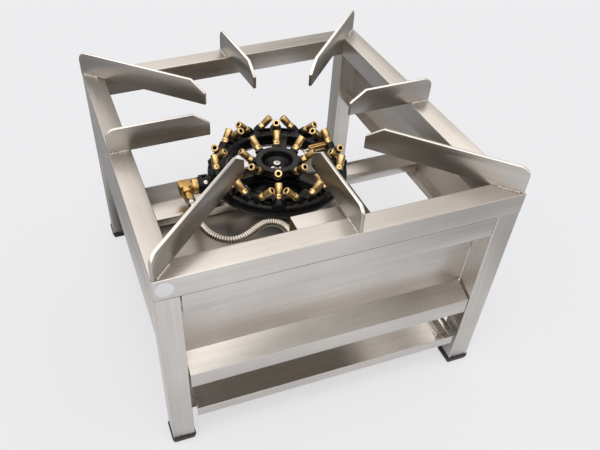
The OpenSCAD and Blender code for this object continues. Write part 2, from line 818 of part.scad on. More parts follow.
// turning collar that opens and closes the air slots, with the lug for its locking screw
module air_shutter() {
    slot_z = shutter_r0 + (shutter_len - mixer_slot_len) / 2;
    r0 = mixer_r + run_fit;
    r1 = r0 + shutter_wall;
    color(black_iron) mixer_place() rotate([0, 0, shutter_turn]) difference() {
        union() {
            translate([0, 0, shutter_r0]) cylinder(r = r1, h = shutter_len);
            translate([-r1 - lug_h + play, -lug_w / 2, shutter_r0 + (shutter_len - lug_len) / 2])
                cube([lug_h + shutter_wall - play, lug_w, lug_len]);
        }
        translate([0, 0, shutter_r0 - over]) cylinder(r = r0, h = shutter_len + 2 * over);
        for (a = [0 : shutter_slots - 1]) rotate([0, 0, 360 / shutter_slots * (a + 0.5)])
            translate([0, -shutter_slot_w / 2, slot_z])
                cube([2 * mixer_r, shutter_slot_w, mixer_slot_len]);
        translate([-r1 - lug_h - over, 0, shutter_r0 + shutter_len / 2]) rotate([0, 90, 0])
            cylinder(r = lock_r + play, h = lug_h + shutter_wall + over + seat);
    }
}

module lock_screw() {
    r1 = mixer_r + run_fit + shutter_wall;
    color(bright) mixer_place() rotate([0, 0, shutter_turn])
        translate([-r1 - lug_h - lock_head_h, 0, shutter_r0 + shutter_len / 2]) rotate([0, 90, 0]) {
            cylinder(r = lock_head_r, h = lock_head_h);
            cylinder(r = lock_r, h = lock_head_h + lug_h + shutter_wall);
        }
}

// injector with its round nut, screwed into the outer end of the mixer
module injector() {
    color(brass_c) mixer_place() difference() {
        union() {
            translate([0, 0, mixer_r1 - inj_nose_len]) cylinder(r = inj_nose_r, h = inj_nose_len + over);
            translate([0, 0, mixer_r1 + play]) cylinder(r = inj_nut_r, h = inj_nut_len);
        }
        translate([0, 0, mixer_r1 - inj_nose_len - over])
            cylinder(r = inj_hole_r, h = inj_nose_len + inj_nut_len + 3 * over);
    }
}

// brass elbow from the injector to the hose, turning towards the front
module gas_elbow() {
    z0 = mixer_r1 + play + inj_nut_len;
    color(brass_c) difference() {
        union() {
            mixer_place() translate([0, 0, z0]) cylinder(r = elbow_neck_r, h = elbow_s / 2);
            translate([hose_route[0][0] - elbow_s / 2, elbow_y() - elbow_s / 2, hose_z - elbow_s / 2])
                cube([elbow_s, elbow_s, elbow_s]);
            translate([hose_route[0][0], elbow_y(), hose_z]) rotate([90, 0, 0]) {
                cylinder(r = elbow_arm_r, h = elbow_y() - elbow_end());
                cylinder(r = elbow_s / 2, h = elbow_s / 2 + elbow_collar);
            }
        }
        translate([hose_route[0][0], elbow_y() + hose_bore_r, hose_z]) rotate([90, 0, 0])
            cylinder(r = hose_bore_r - over, h = elbow_y() - elbow_end() + elbow_s);
        mixer_place() translate([0, 0, z0 - over])
            cylinder(r = hose_bore_r - over, h = elbow_s / 2 + 2 * over);
    }
}

function elbow_y() = burner_y + (burner_x - hose_route[0][0]) * tan(180 - mixer_turn);
function elbow_end() = hose_route[0][1] + ferrule_len / 2 + seat;

// hexagon nut and round ferrule at an end of the hose, running towards +Y from the hose end
module hose_nut_burner() {
    color(brass_c) translate([hose_route[0][0], hose_route[0][1] + ferrule_len / 2, hose_z])
        rotate([-90, 0, 0]) difference() {
            cylinder(r = hose_nut_r, h = hose_nut_len, $fn = 6);
            translate([0, 0, -over]) cylinder(r = elbow_arm_r + play, h = hose_nut_len + 2 * over);
        }
}

module ferrule(x, y, z) {
    translate([x, y - ferrule_len / 2, z]) rotate([-90, 0, 0]) difference() {
        cylinder(r = ferrule_r, h = ferrule_len - seat);
        translate([0, 0, -over]) cylinder(r = hose_r + play, h = ferrule_len / 2 + over);
        cylinder(r = hose_bore_r, h = ferrule_len + over);
    }
}

module hose_ferrule_burner() {
    color(bright) ferrule(hose_route[0][0], hose_route[0][1], hose_route[0][2]);
}

module hose_ferrule_valve() {
    last = hose_route[len(hose_route) - 1];
    color(bright) mirror([0, 1, 0]) ferrule(last[0], -last[1], last[2]);
}

module hose_nut_valve() {
    last = hose_route[len(hose_route) - 1];
    color(brass_c) translate([last[0], last[1] - ferrule_len / 2, last[2]])
        rotate([90, 0, 0]) difference() {
            cylinder(r = valve_nut_r, h = hose_nut_len, $fn = 6);
            translate([0, 0, -over]) cylinder(r = valve_arm_r + play, h = hose_nut_len + 2 * over);
        }
}

function mix(a, b, t) = a + (b - a) * t;
function unit(v) = v / norm(v);
function at(i) = hose_route[max(0, min(len(hose_route) - 1, i))];
function curve(i, t) = 0.5 * (2 * at(i) + (at(i + 1) - at(i - 1)) * t
    + (2 * at(i - 1) - 5 * at(i) + 4 * at(i + 1) - at(i + 2)) * t * t
    + (-at(i - 1) + 3 * at(i) - 3 * at(i + 1) + at(i + 2)) * t * t * t);
function hose_point(k) = let (n = (len(hose_route) - 1) * hose_steps, q = min(n, max(0, k)),
    i = min(len(hose_route) - 2, floor(q / hose_steps))) curve(i, q / hose_steps - i);
function hose_dir(k) = let (n = (len(hose_route) - 1) * hose_steps)
    (k <= 1 || k >= n - 1) ? [0, -1, 0] : unit(hose_point(k + 1) - hose_point(k - 1));
function hose_side(k) = unit(cross(hose_dir(k), [0, 0, 1]));
function hose_ring(k, r) = [for (a = [0 : hose_sides - 1]) let (t = 360 / hose_sides * (a + 0.5))
    hose_point(k) + r * cos(t) * hose_side(k) + r * sin(t) * cross(hose_side(k), hose_dir(k))];

// ribbed hose from the burner elbow to the valve, with its bore
module gas_hose() {
    n = (len(hose_route) - 1) * hose_steps;
    m = hose_sides;
    outer = [for (k = [0 : n]) each hose_ring(k, k % 2 == 0 ? hose_r : hose_groove_r)];
    inner = [for (k = [0 : 2 : n]) each hose_ring(k, hose_bore_r)];
    base = (n + 1) * m;
    last = base + (n / 2) * m;
    skin = [for (k = [0 : n - 1]) for (a = [0 : m - 1]) let (b = (a + 1) % m)
        [k * m + a, k * m + b, (k + 1) * m + b, (k + 1) * m + a]];
    bore = [for (k = [0 : n / 2 - 1]) for (a = [0 : m - 1]) let (b = (a + 1) % m)
        [base + k * m + b, base + k * m + a, base + (k + 1) * m + a, base + (k + 1) * m + b]];
    ends = [for (a = [0 : m - 1]) let (b = (a + 1) % m) [b, a, base + a, base + b],
            for (a = [0 : m - 1]) let (b = (a + 1) % m) [n * m + a, n * m + b, last + b, last + a]];
    color(bright) polyhedron(points = concat(outer, inner), faces = concat(skin, bore, ends), convexity = 6);
}

// valve block behind the front panel with the nipple for the hose
module gas_valve() {
    last = hose_route[len(hose_route) - 1];
    y1 = panel_y + sheet_t + valve_d;
    arm = last[1] - ferrule_len / 2 - seat - y1;
    color(brass_c) difference() {
        union() {
            translate([valve_x - valve_w / 2, panel_y + sheet_t, last[2] - valve_h / 2])
                cube([valve_w, valve_d, valve_h]);
            translate([valve_x, y1 - over, last[2]]) rotate([-90, 0, 0])
                cylinder(r = valve_arm_r, h = arm + over);
        }
        translate([valve_x, y1 - valve_d / 2, last[2]]) rotate([-90, 0, 0])
            cylinder(r = hose_bore_r - over, h = arm + valve_d);
    }
}

module supply_pipe() {
    last = hose_route[len(hose_route) - 1];
    color(brass_c) translate([valve_x + valve_w / 2, panel_y + sheet_t + valve_d / 2, last[2]])
        rotate([0, 90, 0]) difference() {
            cylinder(r = supply_r, h = supply_len);
            translate([0, 0, -over]) cylinder(r = supply_bore_r, h = supply_len + 2 * over);
        }
}

module supply_nut() {
    last = hose_route[len(hose_route) - 1];
    color(brass_c)
        translate([valve_x + valve_w / 2 + supply_len - supply_free - supply_nut_len,
                   panel_y + sheet_t + valve_d / 2, last[2]])
            rotate([0, 90, 0]) difference() {
                cylinder(r = supply_nut_r, h = supply_nut_len, $fn = 6);
                translate([0, 0, -over]) cylinder(r = supply_r + play / 2, h = supply_nut_len + 2 * over);
            }
}

// pilot head lying over the inner edge of the ring on a small bracket
module pilot_place() {
    on_burner() rotate([0, 0, pilot_turn]) translate([pilot_r, pilot_side, pilot_seat_z]) children();
}

module pilot_bracket() {
    color(bright) pilot_place() difference() {
        translate([-pilot_bar_w / 2, -pilot_bar_w / 2, seat / 3]) cube([pilot_arm_len, pilot_bar_w, pilot_bar_t]);
        translate([0, 0, -over]) cylinder(r = pilot_bar_hole, h = pilot_bar_t + 3 * over);
    }
}

module pilot_head() {
    color(brass_c) pilot_place() translate([0, 0, seat / 3 + pilot_bar_t]) difference() {
        translate([pilot_bar_hole + over, -pilot_w / 2, 0]) cube([pilot_len, pilot_w, pilot_h]);
        translate([2 * pilot_bar_hole, -pilot_slot_w / 2, pilot_h / 2]) cube([pilot_len, pilot_slot_w, pilot_h]);
    }
}

// Piece to draw

front_rail();
rear_rail();
left_rail();
right_rail();
leg_front_left();
leg_front_right();
leg_rear_left();
leg_rear_right();
foot_front_left();
foot_front_right();
foot_rear_left();
foot_rear_right();
bar_front();
bar_rear();
bar_left();
bar_right();
bar_front_left();
bar_front_right();
bar_rear_left();
bar_rear_right();
bar_welds();
front_apron();
front_panel();
drip_shelf();
side_panel_left();
side_panel_right();
heat_shield();
burner_bearer();
bearer_bolts();
valve_cover();
runner_left();
runner_right();
drip_tray();
tray_tab();
label_disc();
burner_ring();
burner_base();
burner_hub();
ring_jets_centre();
ring_jets_side();
hub_jets();
hub_stud();
hub_washer();
stud_nut();
burner_foot();
mixer_tube();
air_shutter();
lock_screw();
injector();
gas_elbow();
hose_nut_burner();
hose_ferrule_burner();
gas_hose();
hose_ferrule_valve();
hose_nut_valve();
gas_valve();
supply_pipe();
supply_nut();
pilot_bracket();
pilot_head();
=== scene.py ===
import math
import bpy
import bmesh
from mathutils import Matrix, Vector


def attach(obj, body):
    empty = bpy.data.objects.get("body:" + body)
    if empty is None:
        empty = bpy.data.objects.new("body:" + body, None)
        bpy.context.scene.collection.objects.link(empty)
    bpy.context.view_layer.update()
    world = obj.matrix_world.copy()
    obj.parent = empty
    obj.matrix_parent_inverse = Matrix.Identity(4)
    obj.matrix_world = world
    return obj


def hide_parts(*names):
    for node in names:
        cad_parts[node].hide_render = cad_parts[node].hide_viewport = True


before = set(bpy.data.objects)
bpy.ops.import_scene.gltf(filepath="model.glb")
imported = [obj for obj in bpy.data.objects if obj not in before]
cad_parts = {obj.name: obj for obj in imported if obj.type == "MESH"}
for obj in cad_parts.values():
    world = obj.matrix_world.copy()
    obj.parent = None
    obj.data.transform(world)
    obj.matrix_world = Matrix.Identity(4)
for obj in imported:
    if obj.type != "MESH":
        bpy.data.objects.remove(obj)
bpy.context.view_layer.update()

MM = 0.001

# ---------------------------------------------------------------- sizes of the stand, in millimetres and degrees
HALF_W = 305.0
HALF_D = 318.0
FRAME_TOP = 424.0

# how far the edges are eased, the least angle that counts as an edge, and what counts as flat or as one point
TUBE_ROUND = 0.7
SHEET_ROUND = 0.45
THIN_ROUND = 0.25
CAP_ROUND = 0.8
EDGE_ANGLE = 38.0
FLAT_ANGLE = 0.5
SAME_POINT = 0.002

# outer end, turn and gap of each pot bar: (x, y), degrees, gap to the corner
CORNER_GAP = 4.0
REAR_LEFT_GAP = 1.5
BARS = {
    "bar_front": ((16, -HALF_D), 90, 0),
    "bar_rear": ((-4, HALF_D), -86, 0),
    "bar_left": ((-HALF_W, 13), 0, 0),
    "bar_right": ((HALF_W, -12), 180, 0),
    "bar_front_left": ((-HALF_W, -HALF_D), 45, CORNER_GAP),
    "bar_front_right": ((HALF_W, -HALF_D), 132.5, CORNER_GAP),
    "bar_rear_left": ((-HALF_W, HALF_D), -45, REAR_LEFT_GAP),
    "bar_rear_right": ((HALF_W, HALF_D), 227.5, CORNER_GAP),
}
BAR_T = 6.0

# weld beads: start and length on side and corner bars, then the ripples that they are laid with
BEAD_SIDE = (1.2, 35.8)
BEAD_CORNER = (6.0, 35.9)
BEAD_OFF = 0.7
BEAD_END = 1.6
RIPPLE_R = 2.0
RIPPLE_FLAT = 0.62
RIPPLE_PITCH = 1.5
RIPPLE_LEAST, RIPPLE_MOST = 0.8, 1.15
RIPPLE_SEED = 7

# cast burner: its middle, and the grain and passes of smoothing of each casting
BURNER = (5.0, -3.0)
BURNER_TURN = 25.5
RING_GRAIN, RING_PASSES = 1.35, 4
COVER_GRAIN, COVER_PASSES = 1.25, 3
HUB_GRAIN, HUB_PASSES = 0.9, 4

# brass jets, from the foot that stands on the casting
JET_FOOT = 348.0
JET_GROUPS = 8
JET_STEP = 15.0
JET_LEAN = 45.0
RING_JET_R = 118.0
HUB_JET_R = 50.0
JET_R = 7.25
JET_LEN = 28.0
JET_BORE = 3.5
JET_SIDES = 24
JET_PLUG_R, JET_PLUG_LEN = 4.0, 7.0
JET_CHAMFER, JET_LIP = 0.6, 1.0
JET_NECK, JET_NECK_LIP = 0.9, 0.4
JET_NECK_LOW, JET_NECK_HIGH = (7.0, 7.5, 7.6), (8.8, 8.9, 9.4)
JET_FLOOR, JET_POINT = 2.0, 1.4
# how far out the painted shade of the bore reaches, as a share of its radius
BORE_SHADE_REACH = 1.05
AIR_HOLE_R, AIR_HOLE_UP = 1.6, 4.0
DRILL_LEN, DRILL_SIDES = 30, 12
SHARP_ANGLE = 40

# ribbed hose, and its way from the elbow to the valve
HOSE_R = 7.5
HOSE_GROOVE_R = 6.1
HOSE_RIBS = 72
RINGS_PER_RIB = 6
HOSE_SIDES = 20
ROUTE_STEPS = 8
HOSE_ROUTE = [
    (-176, -42, 320), (-176, -60, 320), (-177, -78, 322), (-178, -96, 325), (-177, -114, 327),
    (-174, -132, 329), (-167, -149, 330), (-155, -163, 330), (-139, -171, 330), (-121, -170, 330),
    (-104, -163, 330), (-88, -154, 330), (-71, -148, 330), (-55, -152, 330), (-44, -164, 330),
    (-40, -180, 330), (-40, -198, 330), (-40, -216, 330), (-40, -234, 330)]

# ---------------------------------------------------------------- camera, in metres and degrees
CAMERA_PLACE = (-0.3789, -0.94898, 1.07233)
CAMERA_TURN = (-17.001, 44.299, -1.391)
LENS, SENSOR = 38.94, 36.0
SHIFT = (0.1133, 0.0617)
CLIP = (0.01, 100.0)


def make_camera():
    data = bpy.data.cameras.new("camera")
    data.sensor_width = SENSOR
    data.lens = LENS
    data.shift_x, data.shift_y = SHIFT
    data.clip_start, data.clip_end = CLIP
    cam = bpy.data.objects.new("camera", data)
    bpy.context.scene.collection.objects.link(cam)
    cam.location = CAMERA_PLACE
    yaw, pitch, roll = (math.radians(a) for a in CAMERA_TURN)
    turn = (Matrix.Rotation(yaw, 4, "Z") @ Matrix.Rotation(math.pi / 2 - pitch, 4, "X")
            @ Matrix.Rotation(roll, 4, "Z"))
    cam.rotation_mode = "QUATERNION"
    cam.rotation_quaternion = turn.to_quaternion()
    bpy.context.scene.camera = cam


make_camera()


# ---------------------------------------------------------------- node helpers
def material(name, **sockets):
    mat = bpy.data.materials.new(name)
    mat.use_nodes = True
    shader = mat.node_tree.nodes["Principled BSDF"]
    for key, value in sockets.items():
        shader.inputs[key.replace("_", " ")].default_value = value
    return mat, mat.node_tree, shader


def add(tree, kind, inputs=None, **settings):
    node = tree.nodes.new(kind)
    for key, value in settings.items():
        setattr(node, key, value)
    for key, value in (inputs or {}).items():
        node.inputs[key].default_value = value
    return node


def math_node(tree, operation, a, b=None):
    node = tree.nodes.new("ShaderNodeMath")
    node.operation = operation
    for k, value in enumerate((a, b)):
        if value is None:
            continue
        if isinstance(value, (int, float)):
            node.inputs[k].default_value = value
        else:
            tree.links.new(value, node.inputs[k])
    return node.outputs[0]


def chained(tree, operation, first, *others):
    """One value after another put through the same operation."""
    for value in others:
        first = math_node(tree, operation, first, value)
    return first


def split(tree, vector):
    """The X, Y and Z of a vector."""
    node = add(tree, "ShaderNodeSeparateXYZ")
    tree.links.new(vector, node.inputs[0])
    return [node.outputs[axis] for axis in "XYZ"]


def noise(tree, vector, scale, detail, rough=0.55):
    node = add(tree, "ShaderNodeTexNoise", {"Scale": scale, "Detail": detail, "Roughness": rough})
    tree.links.new(vector, node.inputs["Vector"])
    return node.outputs["Fac"]


def spread(tree, value, low, high, start=0.3, end=0.7):
    """The value between start and end, stretched from low to high and held there beyond them."""
    node = add(tree, "ShaderNodeMapRange", {"From Min": start, "From Max": end, "To Min": low, "To Max": high})
    tree.links.new(value, node.inputs["Value"])
    return node.outputs["Result"]


def tinted(tree, factor, colour, other):
    """A colour, linked or plain, that turns into another one where the factor is 1."""
    node = add(tree, "ShaderNodeMix", data_type="RGBA")
    sockets = {i.name: i for i in node.inputs if i.type == "RGBA"}
    sockets["B"].default_value = (*other, 1)
    if isinstance(colour, tuple):
        sockets["A"].default_value = (*colour, 1)
    else:
        tree.links.new(colour, sockets["A"])
    tree.links.new(factor, node.inputs["Factor"])
    return next(o for o in node.outputs if o.type == "RGBA")


def bump(tree, shader, height, strength, distance):
    node = add(tree, "ShaderNodeBump", {"Strength": strength, "Distance": distance})
    tree.links.new(height, node.inputs["Height"])
    tree.links.new(node.outputs["Normal"], shader.inputs["Normal"])


# ---------------------------------------------------------------- finishes
GRAIN = {"x": (0, 0, 0), "y": (0, 0, math.pi / 2), "z": (0, -math.pi / 2, 0),
         "d45": (0, 0, math.pi / 4), "d135": (0, 0, -math.pi / 4)}

# tone and deeper tone of each finish
SHEET_TONES = (0.635, 0.605, 0.575), (0.54, 0.51, 0.48)
BAR_TONES = (0.50, 0.475, 0.45), (0.42, 0.40, 0.375)
SHIELD_TONES = (0.40, 0.375, 0.35), (0.33, 0.31, 0.29)
IRON_TONES = (0.006, 0.006, 0.0065), (0.0035, 0.0035, 0.004)
ENAMEL_TONES = (0.005, 0.005, 0.006), (0.003, 0.003, 0.0035)
JET_TONES = (0.90, 0.67, 0.34), (0.76, 0.54, 0.24)
BRASS_TONES = (0.74, 0.50, 0.20), (0.50, 0.31, 0.11)
BRIGHT_TONES = (0.78, 0.77, 0.75), (0.64, 0.63, 0.61)
HOSE_TONES = (0.80, 0.76, 0.71), (0.62, 0.58, 0.53)
WELD_TONES = (0.72, 0.70, 0.67), (0.46, 0.43, 0.40)
PLASTIC_TONES = (0.020, 0.020, 0.021), (0.013, 0.013, 0.014)
DISC_TONES = (0.80, 0.80, 0.81), (0.72, 0.72, 0.74)
# ground finish with a painted highlight, laid on the faces of the bars that look up
GROUND_EDGE_HIGHLIGHT = (0.93, 0.90, 0.86)
# painted shade in the grooves of the hose
HOSE_GROOVE_SHADE = (0.20, 0.16, 0.12)
# painted shade inside the bores of the jets
BORE_SHADE = (0.020, 0.014, 0.008)

# brushing: length and width of the scratches and of the streaks, clouds to a metre, their shares of the tone
SCRATCH = (0.07, 0.0007)
STREAK = (0.30, 0.006)
CLOUDS = 7.0
TONE_SHARES = (0.10, 0.45, 0.45)
TONE_SPAN = (0.36, 0.62)
POLISH_SPAN = 0.06
SCRATCH_BUMP = (0.2, 0.0002)
# upward facing over which the ground edges take their painted highlight
EDGE_HIGHLIGHT_SPAN = (0.35, 0.6)
EDGE_ROUGHER = 0.10

# turned brass: pitch of the tool's rings, and how deep they are
TOOL_PITCH = 0.00045
TOOL_BUMP = (0.12, 0.00005)
TOOL_CLOUDS = 60.0
TOOL_POLISH = (-0.05, 0.08)
CLOUD_SPAN = (0.35, 0.65)
# span of the groove value over which the hose takes its painted shade
GROOVE_SHADE_SPAN = (0.45, 0.95)


def grained(tree, axis, along, across):
    """Object coordinates turned to the grain and stretched along it, in metres."""
    coord = add(tree, "ShaderNodeTexCoord")
    place = add(tree, "ShaderNodeMapping", {"Rotation": GRAIN[axis], "Scale": (along, across, across)},
                vector_type="TEXTURE")
    tree.links.new(coord.outputs["Object"], place.inputs["Vector"])
    return place.outputs["Vector"]


def brushed(axis, name, tones, rough, ground_edge_highlight=False):
    """Brushed stainless sheet, tube or bar: fine scratches along one axis, cloudy tone, uneven polish, and on
    bars a ground finish with a painted highlight on the faces that look up.
    """
    mat, tree, shader = material(name, Metallic=1.0)
    coord = add(tree, "ShaderNodeTexCoord")
    scratch = noise(tree, grained(tree, axis, *SCRATCH), 1.0, detail=4.0, rough=0.65)
    streak = noise(tree, grained(tree, axis, *STREAK), 1.0, detail=3.0, rough=0.6)
    cloud = noise(tree, coord.outputs["Object"], CLOUDS, detail=2.0)
    shares = [math_node(tree, "MULTIPLY", part, share)
              for part, share in zip((scratch, streak, cloud), TONE_SHARES)]
    tone, deep = tones
    colour = tinted(tree, spread(tree, chained(tree, "ADD", *shares), 0.0, 1.0, *TONE_SPAN), deep, tone)
    polish = spread(tree, scratch, rough - POLISH_SPAN, rough + POLISH_SPAN)
    # painted highlight on a ground finish: faces that look up turn to the light edge tone
    if ground_edge_highlight:
        upwards = split(tree, coord.outputs["Normal"])[2]
        edge = spread(tree, upwards, 0.0, 1.0, *EDGE_HIGHLIGHT_SPAN)
        colour = tinted(tree, edge, colour, GROUND_EDGE_HIGHLIGHT)
        polish = math_node(tree, "ADD", polish, math_node(tree, "MULTIPLY", edge, EDGE_ROUGHER))
    tree.links.new(colour, shader.inputs["Base Color"])
    tree.links.new(polish, shader.inputs["Roughness"])
    bump(tree, shader, scratch, *SCRATCH_BUMP)
    return mat


def clouded(name, tones, metallic, rough, grain, lift, wobble=0.06, distance=0.0002, clouds=25.0, **sockets):
    """Cast, pressed or moulded surface: two close tones in clouds, uneven roughness and a fine grain.

    The roughness wobbles by so much each way; grain and clouds are counts to a metre; lift and distance are
    the strength and the depth in metres of the grain."""
    mat, tree, shader = material(name, Metallic=metallic, **sockets)
    coord = add(tree, "ShaderNodeTexCoord")
    spot = noise(tree, coord.outputs["Object"], clouds, detail=3.0)
    fine = noise(tree, coord.outputs["Object"], grain, detail=3.0, rough=0.6)
    tone, deep = tones
    tree.links.new(tinted(tree, spread(tree, spot, 0.0, 1.0, *CLOUD_SPAN), deep, tone),
                   shader.inputs["Base Color"])
    tree.links.new(spread(tree, spot, rough - wobble, rough + wobble), shader.inputs["Roughness"])
    bump(tree, shader, fine, lift, distance)
    return mat


def ribbed(name, tones, shade, rough):
    """Corrugated steel, dull and with painted shade in the grooves, where the stored groove value is 1."""
    mat = clouded(name, tones, metallic=1.0, rough=rough, grain=1500.0, lift=0.08)
    tree = mat.node_tree
    base = tree.nodes["Principled BSDF"].inputs["Base Color"]
    groove = add(tree, "ShaderNodeAttribute", attribute_name="groove")
    # painted shade: the grooves turn towards the dark groove colour
    tree.links.new(tinted(tree, spread(tree, groove.outputs["Fac"], 0.0, 1.0, *GROOVE_SHADE_SPAN),
                          base.links[0].from_socket, shade), base)
    return mat


def turned(name, tones, rough):
    """Turned metal: tool rings that follow the stored distance along each piece's own axis, and painted shade
    where the stored bore value is 1.
    """
    mat, tree, shader = material(name, Metallic=1.0)
    along = add(tree, "ShaderNodeAttribute", attribute_name="along")
    rings = math_node(tree, "SINE", math_node(tree, "MULTIPLY", along.outputs["Fac"], 2 * math.pi / TOOL_PITCH))
    coord = add(tree, "ShaderNodeTexCoord")
    spot = noise(tree, coord.outputs["Object"], TOOL_CLOUDS, detail=3.0)
    tone, deep = tones
    colour = tinted(tree, spread(tree, spot, 0.0, 1.0, *CLOUD_SPAN), deep, tone)
    # painted shade inside the bore of each jet
    bore = add(tree, "ShaderNodeAttribute", attribute_name="bore")
    colour = tinted(tree, bore.outputs["Fac"], colour, BORE_SHADE)
    tree.links.new(colour, shader.inputs["Base Color"])
    low, high = TOOL_POLISH
    tree.links.new(spread(tree, spot, rough + low, rough + high), shader.inputs["Roughness"])
    bump(tree, shader, rings, *TOOL_BUMP)
    return mat


SHEET_STEEL = {axis: brushed(axis, "brushed_steel_" + axis, SHEET_TONES, rough=0.31) for axis in GRAIN}
# bars get a ground finish with a painted highlight on their up-facing faces
BAR_STEEL = {axis: brushed(axis, "bar_steel_" + axis, BAR_TONES, rough=0.33, ground_edge_highlight=True)
             for axis in ("x", "y", "d45", "d135")}
SHIELD_STEEL = brushed("x", "shield_steel", SHIELD_TONES, rough=0.36)
IRON = clouded("black_iron", IRON_TONES, metallic=0.0, rough=0.27, wobble=0.07, grain=700.0, lift=0.30,
               distance=0.0004, Specular_IOR_Level=0.28)
ENAMEL = clouded("black_enamel", ENAMEL_TONES, metallic=0.0, rough=0.26, wobble=0.05, grain=500.0, lift=0.12,
                 Specular_IOR_Level=0.25)
JET_BRASS = turned("turned_brass", JET_TONES, rough=0.27)
BRASS = clouded("brass", BRASS_TONES, metallic=1.0, rough=0.28, wobble=0.07, grain=1200.0, lift=0.10)
BRIGHT = clouded("bright_steel", BRIGHT_TONES, metallic=1.0, rough=0.22, grain=1500.0, lift=0.08)
# hose finish with painted shade in its grooves
HOSE_STEEL = ribbed("hose_steel", HOSE_TONES, HOSE_GROOVE_SHADE, rough=0.22)
WELD = clouded("weld_steel", WELD_TONES, metallic=1.0, rough=0.27, wobble=0.09, grain=1600.0, lift=0.25,
               clouds=260.0)
PLASTIC = clouded("black_plastic", PLASTIC_TONES, metallic=0.0, rough=0.48, grain=1100.0, lift=0.20)
WHITE = clouded("white_label", DISC_TONES, metallic=0.0, rough=0.42, wobble=0.05, grain=1300.0, lift=0.08)


# ---------------------------------------------------------------- mesh helpers
def place_object(name, mesh):
    obj = bpy.data.objects.new(name, mesh)
    bpy.context.scene.collection.objects.link(obj)
    return obj


def mesh_from(bm, name):
    mesh = bpy.data.meshes.new(name)
    bm.to_mesh(mesh)
    bm.free()
    return mesh


def finish_piece(obj, mat, nodes, body):
    if mat is not None:
        obj.data.materials.clear()
        obj.data.materials.append(mat)
    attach(obj, body)
    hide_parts(*nodes)


def cad_copy(nodes):
    """The CAD nodes' loose triangles as one welded mesh."""
    bm = bmesh.new()
    for node in nodes:
        bm.from_mesh(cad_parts[node].data)
    bmesh.ops.remove_doubles(bm, verts=bm.verts, dist=SAME_POINT * MM)
    return bm


def smooth_all(mesh):
    mesh.polygons.foreach_set("use_smooth", [True] * len(mesh.polygons))
    mesh.update()


def eased(name, nodes, mat, rounding, body="stand", segments=2):
    """The CAD solids with their flat faces joined and every edge eased by a small round."""
    bm = cad_copy(nodes)
    bmesh.ops.dissolve_limit(bm, angle_limit=math.radians(FLAT_ANGLE), use_dissolve_boundaries=False,
                             verts=bm.verts[:], edges=bm.edges[:])
    mesh = mesh_from(bm, name)
    smooth_all(mesh)
    obj = place_object(name, mesh)
    edge = obj.modifiers.new("eased edges", "BEVEL")
    edge.width = rounding * MM
    edge.segments = segments
    edge.limit_method = "ANGLE"
    edge.angle_limit = math.radians(EDGE_ANGLE)
    edge.harden_normals = True
    edge.use_clamp_overlap = True
    finish_piece(obj, mat, nodes, body)


def apply_modifiers(obj):
    dg = bpy.context.evaluated_depsgraph_get()
    mesh = bpy.data.meshes.new_from_object(obj.evaluated_get(dg), preserve_all_data_layers=True, depsgraph=dg)
    obj.modifiers.clear()
    old = obj.data
    obj.data = mesh
    if old.users == 0:
        bpy.data.meshes.remove(old)


def cast(name, node, mat, voxel, passes):
    """A casting: the CAD solid melted over, with soft edges and inner corners."""
    obj = place_object(name, mesh_from(cad_copy([node]), name))
    melt = obj.modifiers.new("melt", "REMESH")
    melt.mode = "VOXEL"
    melt.voxel_size = voxel * MM
    melt.use_smooth_shade = True
    ease = obj.modifiers.new("ease", "SMOOTH")
    ease.factor = 0.5
    ease.iterations = passes
    apply_modifiers(obj)
    smooth_all(obj.data)
    finish_piece(obj, mat, [node], "stand")


def lathe(profile, sides, name):
    """A closed turned shape round Z from (radius, height) points in millimetres that start and end on Z."""
    bm = bmesh.new()
    rings = []
    for r, z in profile:
        if r == 0:
            rings.append([bm.verts.new((0, 0, z * MM))])
        else:
            rings.append([bm.verts.new((r * MM * math.cos(2 * math.pi * k / sides),
                                        r * MM * math.sin(2 * math.pi * k / sides), z * MM))
                          for k in range(sides)])
    for a, b in zip(rings, rings[1:]):
        for k in range(sides):
            n = (k + 1) % sides
            if len(a) == 1:
                bm.faces.new((a[0], b[n], b[k]))
            elif len(b) == 1:
                bm.faces.new((a[k], a[n], b[0]))
            else:
                bm.faces.new((a[k], a[n], b[n], b[k]))
    bmesh.ops.recalc_face_normals(bm, faces=bm.faces)
    return mesh_from(bm, name)


def cut_holes(obj, radius, height, turns):
    """Cross holes through a piece that stands on Z."""
    bm = bmesh.new()
    for turn in turns:
        rot = Matrix.Rotation(math.radians(turn), 4, "Z") @ Matrix.Rotation(math.pi / 2, 4, "Y")
        bmesh.ops.create_cone(bm, cap_ends=True, segments=DRILL_SIDES, radius1=radius * MM, radius2=radius * MM,
                              depth=DRILL_LEN * MM, matrix=Matrix.Translation((0, 0, height * MM)) @ rot)
    drill = place_object("drill", mesh_from(bm, "drill"))
    cut = obj.modifiers.new("drill", "BOOLEAN")
    cut.object = drill
    cut.operation = "DIFFERENCE"
    cut.solver = "EXACT"
    cut.use_self = True
    apply_modifiers(obj)
    bpy.data.objects.remove(drill)


# ---------------------------------------------------------------- Geometry Nodes helpers
def tree_with(name, sizes):
    tree = bpy.data.node_groups.new(name, "GeometryNodeTree")
    tree.interface.new_socket("Geometry", in_out="INPUT", socket_type="NodeSocketGeometry")
    for key, kind in sizes:
        tree.interface.new_socket(key, in_out="INPUT", socket_type="NodeSocket" + kind)
    tree.interface.new_socket("Geometry", in_out="OUTPUT", socket_type="NodeSocketGeometry")
    return tree, tree.nodes.new("NodeGroupInput"), tree.nodes.new("NodeGroupOutput")


